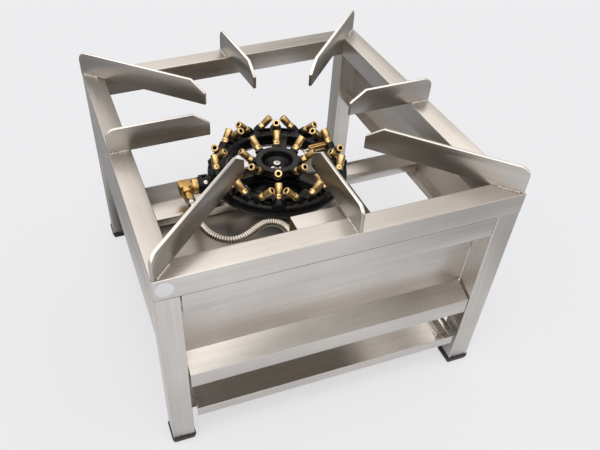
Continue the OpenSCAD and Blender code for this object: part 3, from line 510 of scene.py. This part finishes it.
def run_tree(name, tree, values, mesh=None):
    """Puts the tree on a carrier, sets its named sizes and returns the made mesh as a plain object."""
    obj = place_object(name, mesh or bpy.data.meshes.new(name))
    mod = obj.modifiers.new(name, "NODES")
    mod.node_group = tree
    for item in tree.interface.items_tree:
        if item.in_out == "INPUT" and item.name in values:
            mod[item.identifier] = values[item.name]
    obj.update_tag()
    bpy.context.view_layer.update()
    apply_modifiers(obj)
    return obj


def combined(tree, **axes):
    """A vector from its linked X, Y and Z."""
    node = tree.nodes.new("ShaderNodeCombineXYZ")
    for axis, value in axes.items():
        tree.links.new(value, node.inputs[axis])
    return node.outputs[0]


def copies_of(tree, source, piece, points, **sockets):
    """Copies of a piece on points, made real."""
    new, link = tree.nodes.new, tree.links.new
    info = new("GeometryNodeObjectInfo")
    info.inputs["As Instance"].default_value = True
    link(source.outputs[piece], info.inputs["Object"])
    copies = new("GeometryNodeInstanceOnPoints")
    link(points, copies.inputs["Points"])
    link(info.outputs["Geometry"], copies.inputs["Instance"])
    for key, value in sockets.items():
        link(value, copies.inputs[key])
    real = new("GeometryNodeRealizeInstances")
    link(copies.outputs["Instances"], real.inputs["Geometry"])
    return real.outputs["Geometry"]


def painted(tree, source, result, geometry):
    """Sets the finish and ends the tree."""
    paint = tree.nodes.new("GeometryNodeSetMaterial")
    tree.links.new(geometry, paint.inputs["Geometry"])
    tree.links.new(source.outputs["Finish"], paint.inputs["Material"])
    tree.links.new(paint.outputs["Geometry"], result.inputs[0])


def circle_tree():
    """Stands copies of a piece on a circle, each leaning by two angles before it is turned outwards."""
    tree, source, result = tree_with("copies on a circle", [
        ("Piece", "Object"), ("Count", "Int"), ("Circle", "Float"), ("Foot", "Float"), ("First turn", "Float"),
        ("Lean along", "Float"), ("Lean out", "Float"), ("Centre", "Vector"), ("Finish", "Material")])
    new, link = tree.nodes.new, tree.links.new
    line = new("GeometryNodeMeshLine")
    line.inputs["Offset"].default_value = (0, 0, 0)
    link(source.outputs["Count"], line.inputs["Count"])
    index = new("GeometryNodeInputIndex")
    step = math_node(tree, "DIVIDE", 2 * math.pi, source.outputs["Count"])
    turn = math_node(tree, "ADD", math_node(tree, "MULTIPLY", index.outputs[0], step),
                     source.outputs["First turn"])
    circle = source.outputs["Circle"]
    spot = combined(tree, X=math_node(tree, "MULTIPLY", math_node(tree, "COSINE", turn), circle),
                    Y=math_node(tree, "MULTIPLY", math_node(tree, "SINE", turn), circle),
                    Z=source.outputs["Foot"])
    shift = new("ShaderNodeVectorMath")
    link(spot, shift.inputs[0])
    link(source.outputs["Centre"], shift.inputs[1])
    move = new("GeometryNodeSetPosition")
    link(line.outputs["Mesh"], move.inputs["Geometry"])
    link(shift.outputs[0], move.inputs["Position"])
    lean = combined(tree, X=source.outputs["Lean along"], Y=source.outputs["Lean out"], Z=turn)
    painted(tree, source, result, copies_of(tree, source, "Piece", move.outputs["Geometry"], Rotation=lean))
    return tree


def bead_tree():
    """Lays overlapping ripples of weld along every edge of its carrier."""
    tree, source, result = tree_with("weld bead", [
        ("Ripple", "Object"), ("Pitch", "Float"), ("Least", "Float"), ("Most", "Float"), ("Seed", "Int"),
        ("Finish", "Material")])
    new, link = tree.nodes.new, tree.links.new
    curve = new("GeometryNodeMeshToCurve")
    link(source.outputs["Geometry"], curve.inputs["Mesh"])
    points = new("GeometryNodeCurveToPoints")
    points.mode = "LENGTH"
    link(curve.outputs["Curve"], points.inputs["Curve"])
    link(source.outputs["Pitch"], points.inputs["Length"])
    size = new("FunctionNodeRandomValue")
    size.data_type = "FLOAT"
    link(source.outputs["Least"], size.inputs[2])
    link(source.outputs["Most"], size.inputs[3])
    link(source.outputs["Seed"], size.inputs["Seed"])
    painted(tree, source, result, copies_of(tree, source, "Ripple", points.outputs["Points"],
                                            Rotation=points.outputs["Rotation"], Scale=size.outputs[1]))
    return tree


def hose_tree():
    """Sweeps a round section along its carrier and swells it into ribs, with the grooves marked for their
    painted shade.
    """
    tree, source, result = tree_with("ribbed hose", [
        ("Ribs", "Int"), ("Rings", "Int"), ("Middle radius", "Float"), ("Rib height", "Float"), ("Sides", "Int"),
        ("Finish", "Material")])
    new, link = tree.nodes.new, tree.links.new
    curve = new("GeometryNodeMeshToCurve")
    link(source.outputs["Geometry"], curve.inputs["Mesh"])
    even = new("GeometryNodeResampleCurve")
    link(curve.outputs["Curve"], even.inputs["Curve"])
    link(source.outputs["Rings"], even.inputs["Count"])
    part = new("GeometryNodeSplineParameter")
    angle = chained(tree, "MULTIPLY", part.outputs["Factor"], source.outputs["Ribs"], 2 * math.pi)
    cosine = math_node(tree, "COSINE", angle)
    radius = math_node(tree, "ADD", math_node(tree, "MULTIPLY", cosine, source.outputs["Rib height"]),
                       source.outputs["Middle radius"])
    ring = new("GeometryNodeCurvePrimitiveCircle")
    ring.inputs["Radius"].default_value = 1.0
    link(source.outputs["Sides"], ring.inputs["Resolution"])
    # groove value, which the hose's finish turns into painted shade
    groove = new("GeometryNodeStoreNamedAttribute")
    groove.data_type, groove.domain = "FLOAT", "POINT"
    groove.inputs["Name"].default_value = "groove"
    link(even.outputs["Curve"], groove.inputs["Geometry"])
    link(math_node(tree, "MULTIPLY", math_node(tree, "SUBTRACT", 1.0, cosine), 0.5), groove.inputs["Value"])
    tube = new("GeometryNodeCurveToMesh")
    tube.inputs["Fill Caps"].default_value = True
    link(groove.outputs["Geometry"], tube.inputs["Curve"])
    link(ring.outputs["Curve"], tube.inputs["Profile Curve"])
    link(radius, tube.inputs["Scale"])
    painted(tree, source, result, tube.outputs["Mesh"])
    return tree


# ---------------------------------------------------------------- the hose, made first because it is a cord
def catmull(points, steps):
    """The smooth line through the route that the source draws."""
    out = []
    n = len(points) - 1
    for i in range(n):
        p0, p1, p2, p3 = (Vector(points[max(0, min(n, i + k))]) for k in (-1, 0, 1, 2))
        for k in range(steps):
            t = k / steps
            out.append(0.5 * (2 * p1 + (p2 - p0) * t + (2 * p0 - 5 * p1 + 4 * p2 - p3) * t * t
                              + (-p0 + 3 * p1 - 3 * p2 + p3) * t ** 3))
    out.append(Vector(points[-1]))
    return [p * MM for p in out]


def make_hose():
    path = catmull(HOSE_ROUTE, ROUTE_STEPS)
    mesh = bpy.data.meshes.new("gas_hose")
    mesh.from_pydata(path, [(k, k + 1) for k in range(len(path) - 1)], [])
    hose = run_tree("ribbed_gas_hose", hose_tree(), {
        "Ribs": HOSE_RIBS, "Rings": HOSE_RIBS * RINGS_PER_RIB + 1,
        "Middle radius": (HOSE_R + HOSE_GROOVE_R) / 2 * MM, "Rib height": (HOSE_R - HOSE_GROOVE_R) / 2 * MM,
        "Sides": HOSE_SIDES, "Finish": HOSE_STEEL}, mesh)
    smooth_all(hose.data)
    finish_piece(hose, None, ["gas_hose"], "stand")


make_hose()

# ---------------------------------------------------------------- frame, legs, bars and sheet metal
WAY_OF_GRAIN = {
    "front_rail": "x", "rear_rail": "x", "left_rail": "y", "right_rail": "y",
    "leg_front_left": "z", "leg_front_right": "z", "leg_rear_left": "z", "leg_rear_right": "z",
    "bar_front": "y", "bar_rear": "y", "bar_left": "x", "bar_right": "x",
    "bar_front_left": "d45", "bar_rear_right": "d45", "bar_front_right": "d135", "bar_rear_left": "d135",
    "front_apron": "x", "front_panel": "x", "drip_shelf": "x", "side_panel_left": "y",
    "side_panel_right": "y", "burner_bearer": "x", "valve_cover": "x", "runner_left": "y",
    "runner_right": "y", "drip_tray": "x", "tray_tab": "x"}
for node, axis in WAY_OF_GRAIN.items():
    thick = node.startswith(("bar_", "leg_")) or node.endswith("_rail")
    steel = BAR_STEEL if node.startswith("bar_") else SHEET_STEEL
    eased(node + "_dressed", [node], steel[axis], TUBE_ROUND if thick else SHEET_ROUND,
          "tray" if node in ("drip_tray", "tray_tab") else "stand")
eased("shield_sheet", ["heat_shield"], SHIELD_STEEL, THIN_ROUND)
for corner in ("front_left", "front_right", "rear_left", "rear_right"):
    eased("cap_" + corner, ["foot_" + corner], PLASTIC, CAP_ROUND, segments=3)
eased("bare_disc", ["label_disc"], WHITE, THIN_ROUND)


# ---------------------------------------------------------------- weld beads
def bead_edges():
    """One line beside each foot of each pot bar, as long as its bead."""
    verts, edges = [], []
    for (x, y), turn, gap in BARS.values():
        place = Matrix.Translation((x, y, FRAME_TOP)) @ Matrix.Rotation(math.radians(turn), 4, "Z")
        start, length = BEAD_CORNER if gap else BEAD_SIDE
        start += gap
        for side in (-1, 1):
            off = side * (BAR_T / 2 + BEAD_OFF)
            verts += [place @ Vector((along, off, BEAD_OFF))
                      for along in (start + BEAD_END, start + length - BEAD_END)]
            edges.append((len(verts) - 2, len(verts) - 1))
    return [v * MM for v in verts], edges


def make_welds():
    bm = bmesh.new()
    bmesh.ops.create_icosphere(bm, subdivisions=2, radius=RIPPLE_R * MM)
    for v in bm.verts:
        v.co.z *= RIPPLE_FLAT
    mesh = mesh_from(bm, "ripple")
    smooth_all(mesh)
    ripple = place_object("ripple", mesh)
    verts, edges = bead_edges()
    carrier = bpy.data.meshes.new("beads")
    carrier.from_pydata(verts, edges, [])
    beads = run_tree("weld_beads", bead_tree(), {
        "Ripple": ripple, "Pitch": RIPPLE_PITCH * MM, "Least": RIPPLE_LEAST, "Most": RIPPLE_MOST,
        "Seed": RIPPLE_SEED, "Finish": WELD}, carrier)
    bpy.data.objects.remove(ripple)
    smooth_all(beads.data)
    finish_piece(beads, None, ["bar_welds"], "stand")


make_welds()

# ---------------------------------------------------------------- burner castings and small parts
cast("ring_casting", "burner_ring", IRON, RING_GRAIN, RING_PASSES)
cast("ring_cover", "burner_base", ENAMEL, COVER_GRAIN, COVER_PASSES)
cast("hub_casting", "burner_hub", IRON, HUB_GRAIN, HUB_PASSES)

# piece, node, finish, slot, rounding in millimetres, body, steps of the rounding
SMALL_PARTS = [
    ("burner_column", "burner_foot", IRON, "black_iron", 0.8, "stand", 2),
    ("mixer_body", "mixer_tube", IRON, "black_iron", 0.8, "stand", 2),
    ("shutter_collar", "air_shutter", IRON, "black_iron", 0.6, "shutter", 2),
    ("shutter_screw", "lock_screw", BRIGHT, "bright_steel", 0.4, "shutter", 2),
    ("injector_nut", "injector", BRASS, "brass", 0.7, "stand", 2),
    ("elbow", "gas_elbow", BRASS, "brass", 1.2, "stand", 3),
    ("burner_end_nut", "hose_nut_burner", BRASS, "brass", 0.6, "stand", 2),
    ("burner_end_ferrule", "hose_ferrule_burner", HOSE_STEEL, "bright_steel", 0.4, "stand", 2),
    ("valve_end_ferrule", "hose_ferrule_valve", HOSE_STEEL, "bright_steel", 0.4, "stand", 2),
    ("valve_end_nut", "hose_nut_valve", BRASS, "brass", 0.6, "stand", 2),
    ("valve_block", "gas_valve", BRASS, "brass", 0.8, "stand", 2),
    ("supply_tube", "supply_pipe", BRASS, "brass", 0.3, "stand", 2),
    ("supply_nut_hex", "supply_nut", BRASS, "brass", 0.5, "stand", 2),
    ("pilot_plate", "pilot_bracket", BRIGHT, "bright_steel", 0.4, "stand", 2),
    ("pilot_tip", "pilot_head", BRASS, "brass", 0.5, "stand", 2),
    ("bearer_screws", "bearer_bolts", BRIGHT, "bright_steel", 0.4, "stand", 2),
    ("stud_foot_nut", "stud_nut", BRIGHT, "bright_steel", 0.4, "stand", 2),
    ("centre_stud", "hub_stud", BRIGHT, "bright_steel", 0.5, "stand", 3),
    ("centre_washer", "hub_washer", BRIGHT, "bright_steel", 0.3, "stand", 2),
]
for piece, node, finish, slot, rounding, body, steps in SMALL_PARTS:
    eased(piece, [node], finish, rounding, body, steps)


# ---------------------------------------------------------------- brass jets
def store_on_jet(mesh):
    """Keeps the way along the jet for its tool rings, and where its bore is, for the painted shade inside it."""
    along = [v.co.z for v in mesh.vertices]
    bore = [float(v.co.xy.length < JET_BORE * MM * BORE_SHADE_REACH and v.co.z > MM) for v in mesh.vertices]
    for name, values in (("along", along), ("bore", bore)):
        layer = mesh.attributes.new(name, "FLOAT", "POINT")
        layer.data.foreach_set("value", values)


def make_jet():
    neck, lip = JET_R - JET_NECK, JET_R - JET_NECK_LIP
    (low_a, low_b, low_c), (high_a, high_b, high_c) = JET_NECK_LOW, JET_NECK_HIGH
    profile = [(0, -JET_PLUG_LEN), (JET_PLUG_R, -JET_PLUG_LEN), (JET_PLUG_R, 0), (JET_R - JET_CHAMFER, 0),
               (JET_R, JET_CHAMFER), (JET_R, low_a), (lip, low_b), (neck, low_c), (neck, high_a), (lip, high_b),
               (JET_R, high_c), (JET_R, JET_LEN - JET_LIP), (JET_R - JET_LIP, JET_LEN),
               (JET_BORE + JET_CHAMFER, JET_LEN), (JET_BORE, JET_LEN - JET_CHAMFER), (JET_BORE, JET_FLOOR),
               (0, JET_POINT)]
    jet = place_object("jet", lathe(profile, JET_SIDES, "jet"))
    cut_holes(jet, AIR_HOLE_R, AIR_HOLE_UP, (0, 90))
    store_on_jet(jet.data)
    smooth_all(jet.data)
    jet.data.set_sharp_from_angle(angle=math.radians(SHARP_ANGLE))
    return jet


def make_jets():
    jet = make_jet()
    tree = circle_tree()
    base = {"Piece": jet, "Count": JET_GROUPS, "Foot": JET_FOOT * MM,
            "Centre": (BURNER[0] * MM, BURNER[1] * MM, 0.0), "Finish": JET_BRASS}
    lean = math.radians(JET_LEAN)
    # piece: node, circle, turn from the middle of its group, lean along the circle, lean out
    jobs = {
        "centre_jets": ("ring_jets_centre", RING_JET_R, 0, 0, -lean),
        "side_jets_a": ("ring_jets_side", RING_JET_R, -JET_STEP, -lean, 0),
        "side_jets_b": ("ring_jets_side", RING_JET_R, JET_STEP, lean, 0),
        "inner_jets": ("hub_jets", HUB_JET_R, 0, 0, lean),
    }
    for name, (node, radius, turn, along, out) in jobs.items():
        made = run_tree(name, tree, {
            **base, "Circle": radius * MM, "First turn": math.radians(BURNER_TURN + turn),
            "Lean along": along, "Lean out": out})
        finish_piece(made, None, [node], "stand")
    bpy.data.objects.remove(jet)


make_jets()

# ---------------------------------------------------------------- floor, studio and lamps
BACKDROP = (0.852, 0.852, 0.868)
FLOOR_HALF = 30.0
FLOOR_ROUGH = 0.85
OWN_LIGHT = 0.68

# light of the floor as steel mirrors it: each part of it from one place to another, in metres, and its light
MIRRORED_FLOOR = 1.03
FLOOR_AHEAD, AHEAD_GIVES = (-0.44, -0.68), 0.12
FLOOR_AHEAD_RIGHT, AHEAD_RIGHT_TAKES = (0.15, 0.55), 0.52
FLOOR_BEHIND, BEHIND_TAKES = (0.05, 0.40), 0.50
FLOOR_NEAR, NEAR_TAKES = (-0.50, -0.37), 0.12
FLOOR_UNDER, UNDER_TAKES = ((0.27, 0.32), (0.28, 0.33)), 0.62

# studio as steel mirrors it, by the direction looked in, whose X, Y and Z run from -1 to 1
SKY_TONES = [(0.38, (0.66, 0.63, 0.61)), (0.50, (0.92, 0.87, 0.82)), (0.60, (1.44, 1.36, 1.27)),
             (0.80, (1.46, 1.39, 1.31)), (0.92, (1.80, 1.77, 1.72))]
DARK_CEILING = [(0.14, (0, 0, 0)), (0.20, (0.92, 0.92, 0.92)), (0.30, (0.88, 0.88, 0.88)),
                (0.34, (0.25, 0.25, 0.25)), (0.38, (0.90, 0.90, 0.90)), (0.46, (0.95, 0.95, 0.95))]
CEILING_END_Y, CEILING_FROM_Z = (0.10, 0.42), (0.48, 0.66)
FRONT_WALL_Y, FRONT_WALL_TOP_Z, FRONT_WALL_GIVES = (-0.60, -0.28), (0.68, 0.80), 0.6
REAR_RIGHT_X, REAR_RIGHT_Y, REAR_RIGHT_TAKES = (0.30, 0.45), (0.60, 0.68), 0.42
SIDE_RIGHT_X, SIDE_RIGHT_Z, SIDE_RIGHT_GIVES = (0.30, 0.50), (0.53, 0.58), 0.30
STUDIO_LIGHT = 0.52

# lamp, place in metres, power, spread in degrees
LAMPS = [("overhead", (-0.5, -0.9, 3.0), 1.15, 40.0), ("left", (-2.4, -0.6, 2.2), 0.35, 50.0),
         ("right", (2.6, -0.9, 2.4), 0.2, 50.0)]


def mirrored_floor(tree):
    """The light level of the floor as steel mirrors it."""
    where = add(tree, "ShaderNodeNewGeometry")
    x, y, _ = split(tree, where.outputs["Position"])
    ahead = spread(tree, y, 0.0, 1.0, *FLOOR_AHEAD)
    right = spread(tree, x, 0.0, 1.0, *FLOOR_AHEAD_RIGHT)
    under = [spread(tree, math_node(tree, "ABSOLUTE", value), 1.0, 0.0, *edge)
             for value, edge in zip((x, y), FLOOR_UNDER)]
    level = math_node(tree, "ADD", math_node(tree, "MULTIPLY", ahead, AHEAD_GIVES), MIRRORED_FLOOR)
    return chained(tree, "SUBTRACT", level,
                   chained(tree, "MULTIPLY", ahead, right, AHEAD_RIGHT_TAKES),
                   spread(tree, y, 0.0, BEHIND_TAKES, *FLOOR_BEHIND),
                   spread(tree, y, 0.0, NEAR_TAKES, *FLOOR_NEAR),
                   chained(tree, "MULTIPLY", *under, UNDER_TAKES))


def make_floor():
    mesh = bpy.data.meshes.new("floor")
    mesh.from_pydata([(x * FLOOR_HALF, y * FLOOR_HALF, 0) for x, y in ((-1, -1), (1, -1), (1, 1), (-1, 1))],
                     [], [(0, 1, 2, 3)])
    floor = place_object("floor", mesh)
    mat, tree, shader = material("pale_floor", Roughness=FLOOR_ROUGH, Specular_IOR_Level=0.0,
                                 Base_Color=(*[c * (1 - OWN_LIGHT) for c in BACKDROP], 1),
                                 Emission_Color=(*BACKDROP, 1), Emission_Strength=OWN_LIGHT)
    glow = add(tree, "ShaderNodeEmission", {"Color": (*BACKDROP, 1)})
    tree.links.new(mirrored_floor(tree), glow.inputs["Strength"])
    ray = add(tree, "ShaderNodeLightPath")
    either = mixed(tree, ray.outputs["Is Glossy Ray"], shader.outputs[0], glow.outputs[0])
    tree.links.new(either, tree.nodes["Material Output"].inputs["Surface"])
    floor.data.materials.append(mat)


def mixed(tree, factor, one, other):
    """One shader, and the other where the factor is 1."""
    node = add(tree, "ShaderNodeMixShader")
    for socket, value in zip(node.inputs, (factor, one, other)):
        tree.links.new(value, socket)
    return node.outputs[0]


def banded(tree, value, bands):
    """A colour that runs softly through bands of (value, colour)."""
    ramp = add(tree, "ShaderNodeValToRGB")
    ramp.color_ramp.interpolation = "EASE"
    for stop, (place, colour) in zip(ramp.color_ramp.elements, (bands[0], bands[-1])):
        stop.position, stop.color = place, (*colour, 1)
    for place, colour in bands[1:-1]:
        ramp.color_ramp.elements.new(place).color = (*colour, 1)
    tree.links.new(value, ramp.inputs["Fac"])
    return ramp.outputs["Color"]


def mirrored_studio(tree):
    """The studio as steel mirrors it: bands of tone by height, darker and lighter in places."""
    coord = add(tree, "ShaderNodeTexCoord")
    x, y, z = split(tree, coord.outputs["Generated"])
    sky = add(tree, "ShaderNodeBackground")
    tree.links.new(banded(tree, z, SKY_TONES), sky.inputs["Color"])
    ceiling = chained(tree, "MULTIPLY", banded(tree, x, DARK_CEILING), spread(tree, y, 1.0, 0.0, *CEILING_END_Y),
                      spread(tree, z, 0.0, 1.0, *CEILING_FROM_Z))
    rear_right = math_node(tree, "MULTIPLY", spread(tree, x, 0.0, REAR_RIGHT_TAKES, *REAR_RIGHT_X),
                           spread(tree, y, 0.0, 1.0, *REAR_RIGHT_Y))
    front_wall = math_node(tree, "MULTIPLY", spread(tree, y, FRONT_WALL_GIVES, 0.0, *FRONT_WALL_Y),
                           spread(tree, z, 1.0, 0.0, *FRONT_WALL_TOP_Z))
    side_right = chained(tree, "MULTIPLY", spread(tree, x, 0.0, SIDE_RIGHT_GIVES, *SIDE_RIGHT_X),
                         spread(tree, z, 0.0, 1.0, *SIDE_RIGHT_Z), spread(tree, y, 1.0, 0.0, *REAR_RIGHT_Y))
    lighter = chained(tree, "ADD", front_wall, side_right, 1.0)
    darker = math_node(tree, "ADD", ceiling, rear_right)
    tree.links.new(math_node(tree, "SUBTRACT", lighter, darker), sky.inputs["Strength"])
    return sky.outputs[0]


def make_studio():
    world = bpy.data.worlds.new("studio")
    bpy.context.scene.world = world
    world.use_nodes = True
    tree = world.node_tree
    tree.nodes.clear()
    seen = add(tree, "ShaderNodeBackground", {"Color": (*BACKDROP, 1), "Strength": 1.0})
    light = add(tree, "ShaderNodeBackground", {"Color": (1.0, 1.0, 1.0, 1), "Strength": STUDIO_LIGHT})
    path = add(tree, "ShaderNodeLightPath")
    shiny = math_node(tree, "MAXIMUM", path.outputs["Is Glossy Ray"], path.outputs["Is Transmission Ray"])
    lit = mixed(tree, shiny, light.outputs[0], mirrored_studio(tree))
    out = add(tree, "ShaderNodeOutputWorld")
    tree.links.new(mixed(tree, path.outputs["Is Camera Ray"], lit, seen.outputs[0]), out.inputs["Surface"])


def make_lamps():
    for name, spot, power, angle in LAMPS:
        data = bpy.data.lights.new(name, "SUN")
        data.angle = math.radians(angle)
        data.energy = power
        lamp = bpy.data.objects.new(name, data)
        bpy.context.scene.collection.objects.link(lamp)
        lamp.location = spot
        lamp.rotation_mode = "QUATERNION"
        lamp.rotation_quaternion = (-Vector(spot)).to_track_quat("-Z", "Y")
        lamp.visible_glossy = False


make_floor()
make_studio()
make_lamps()
bpy.context.scene.view_settings.view_transform = "Standard"
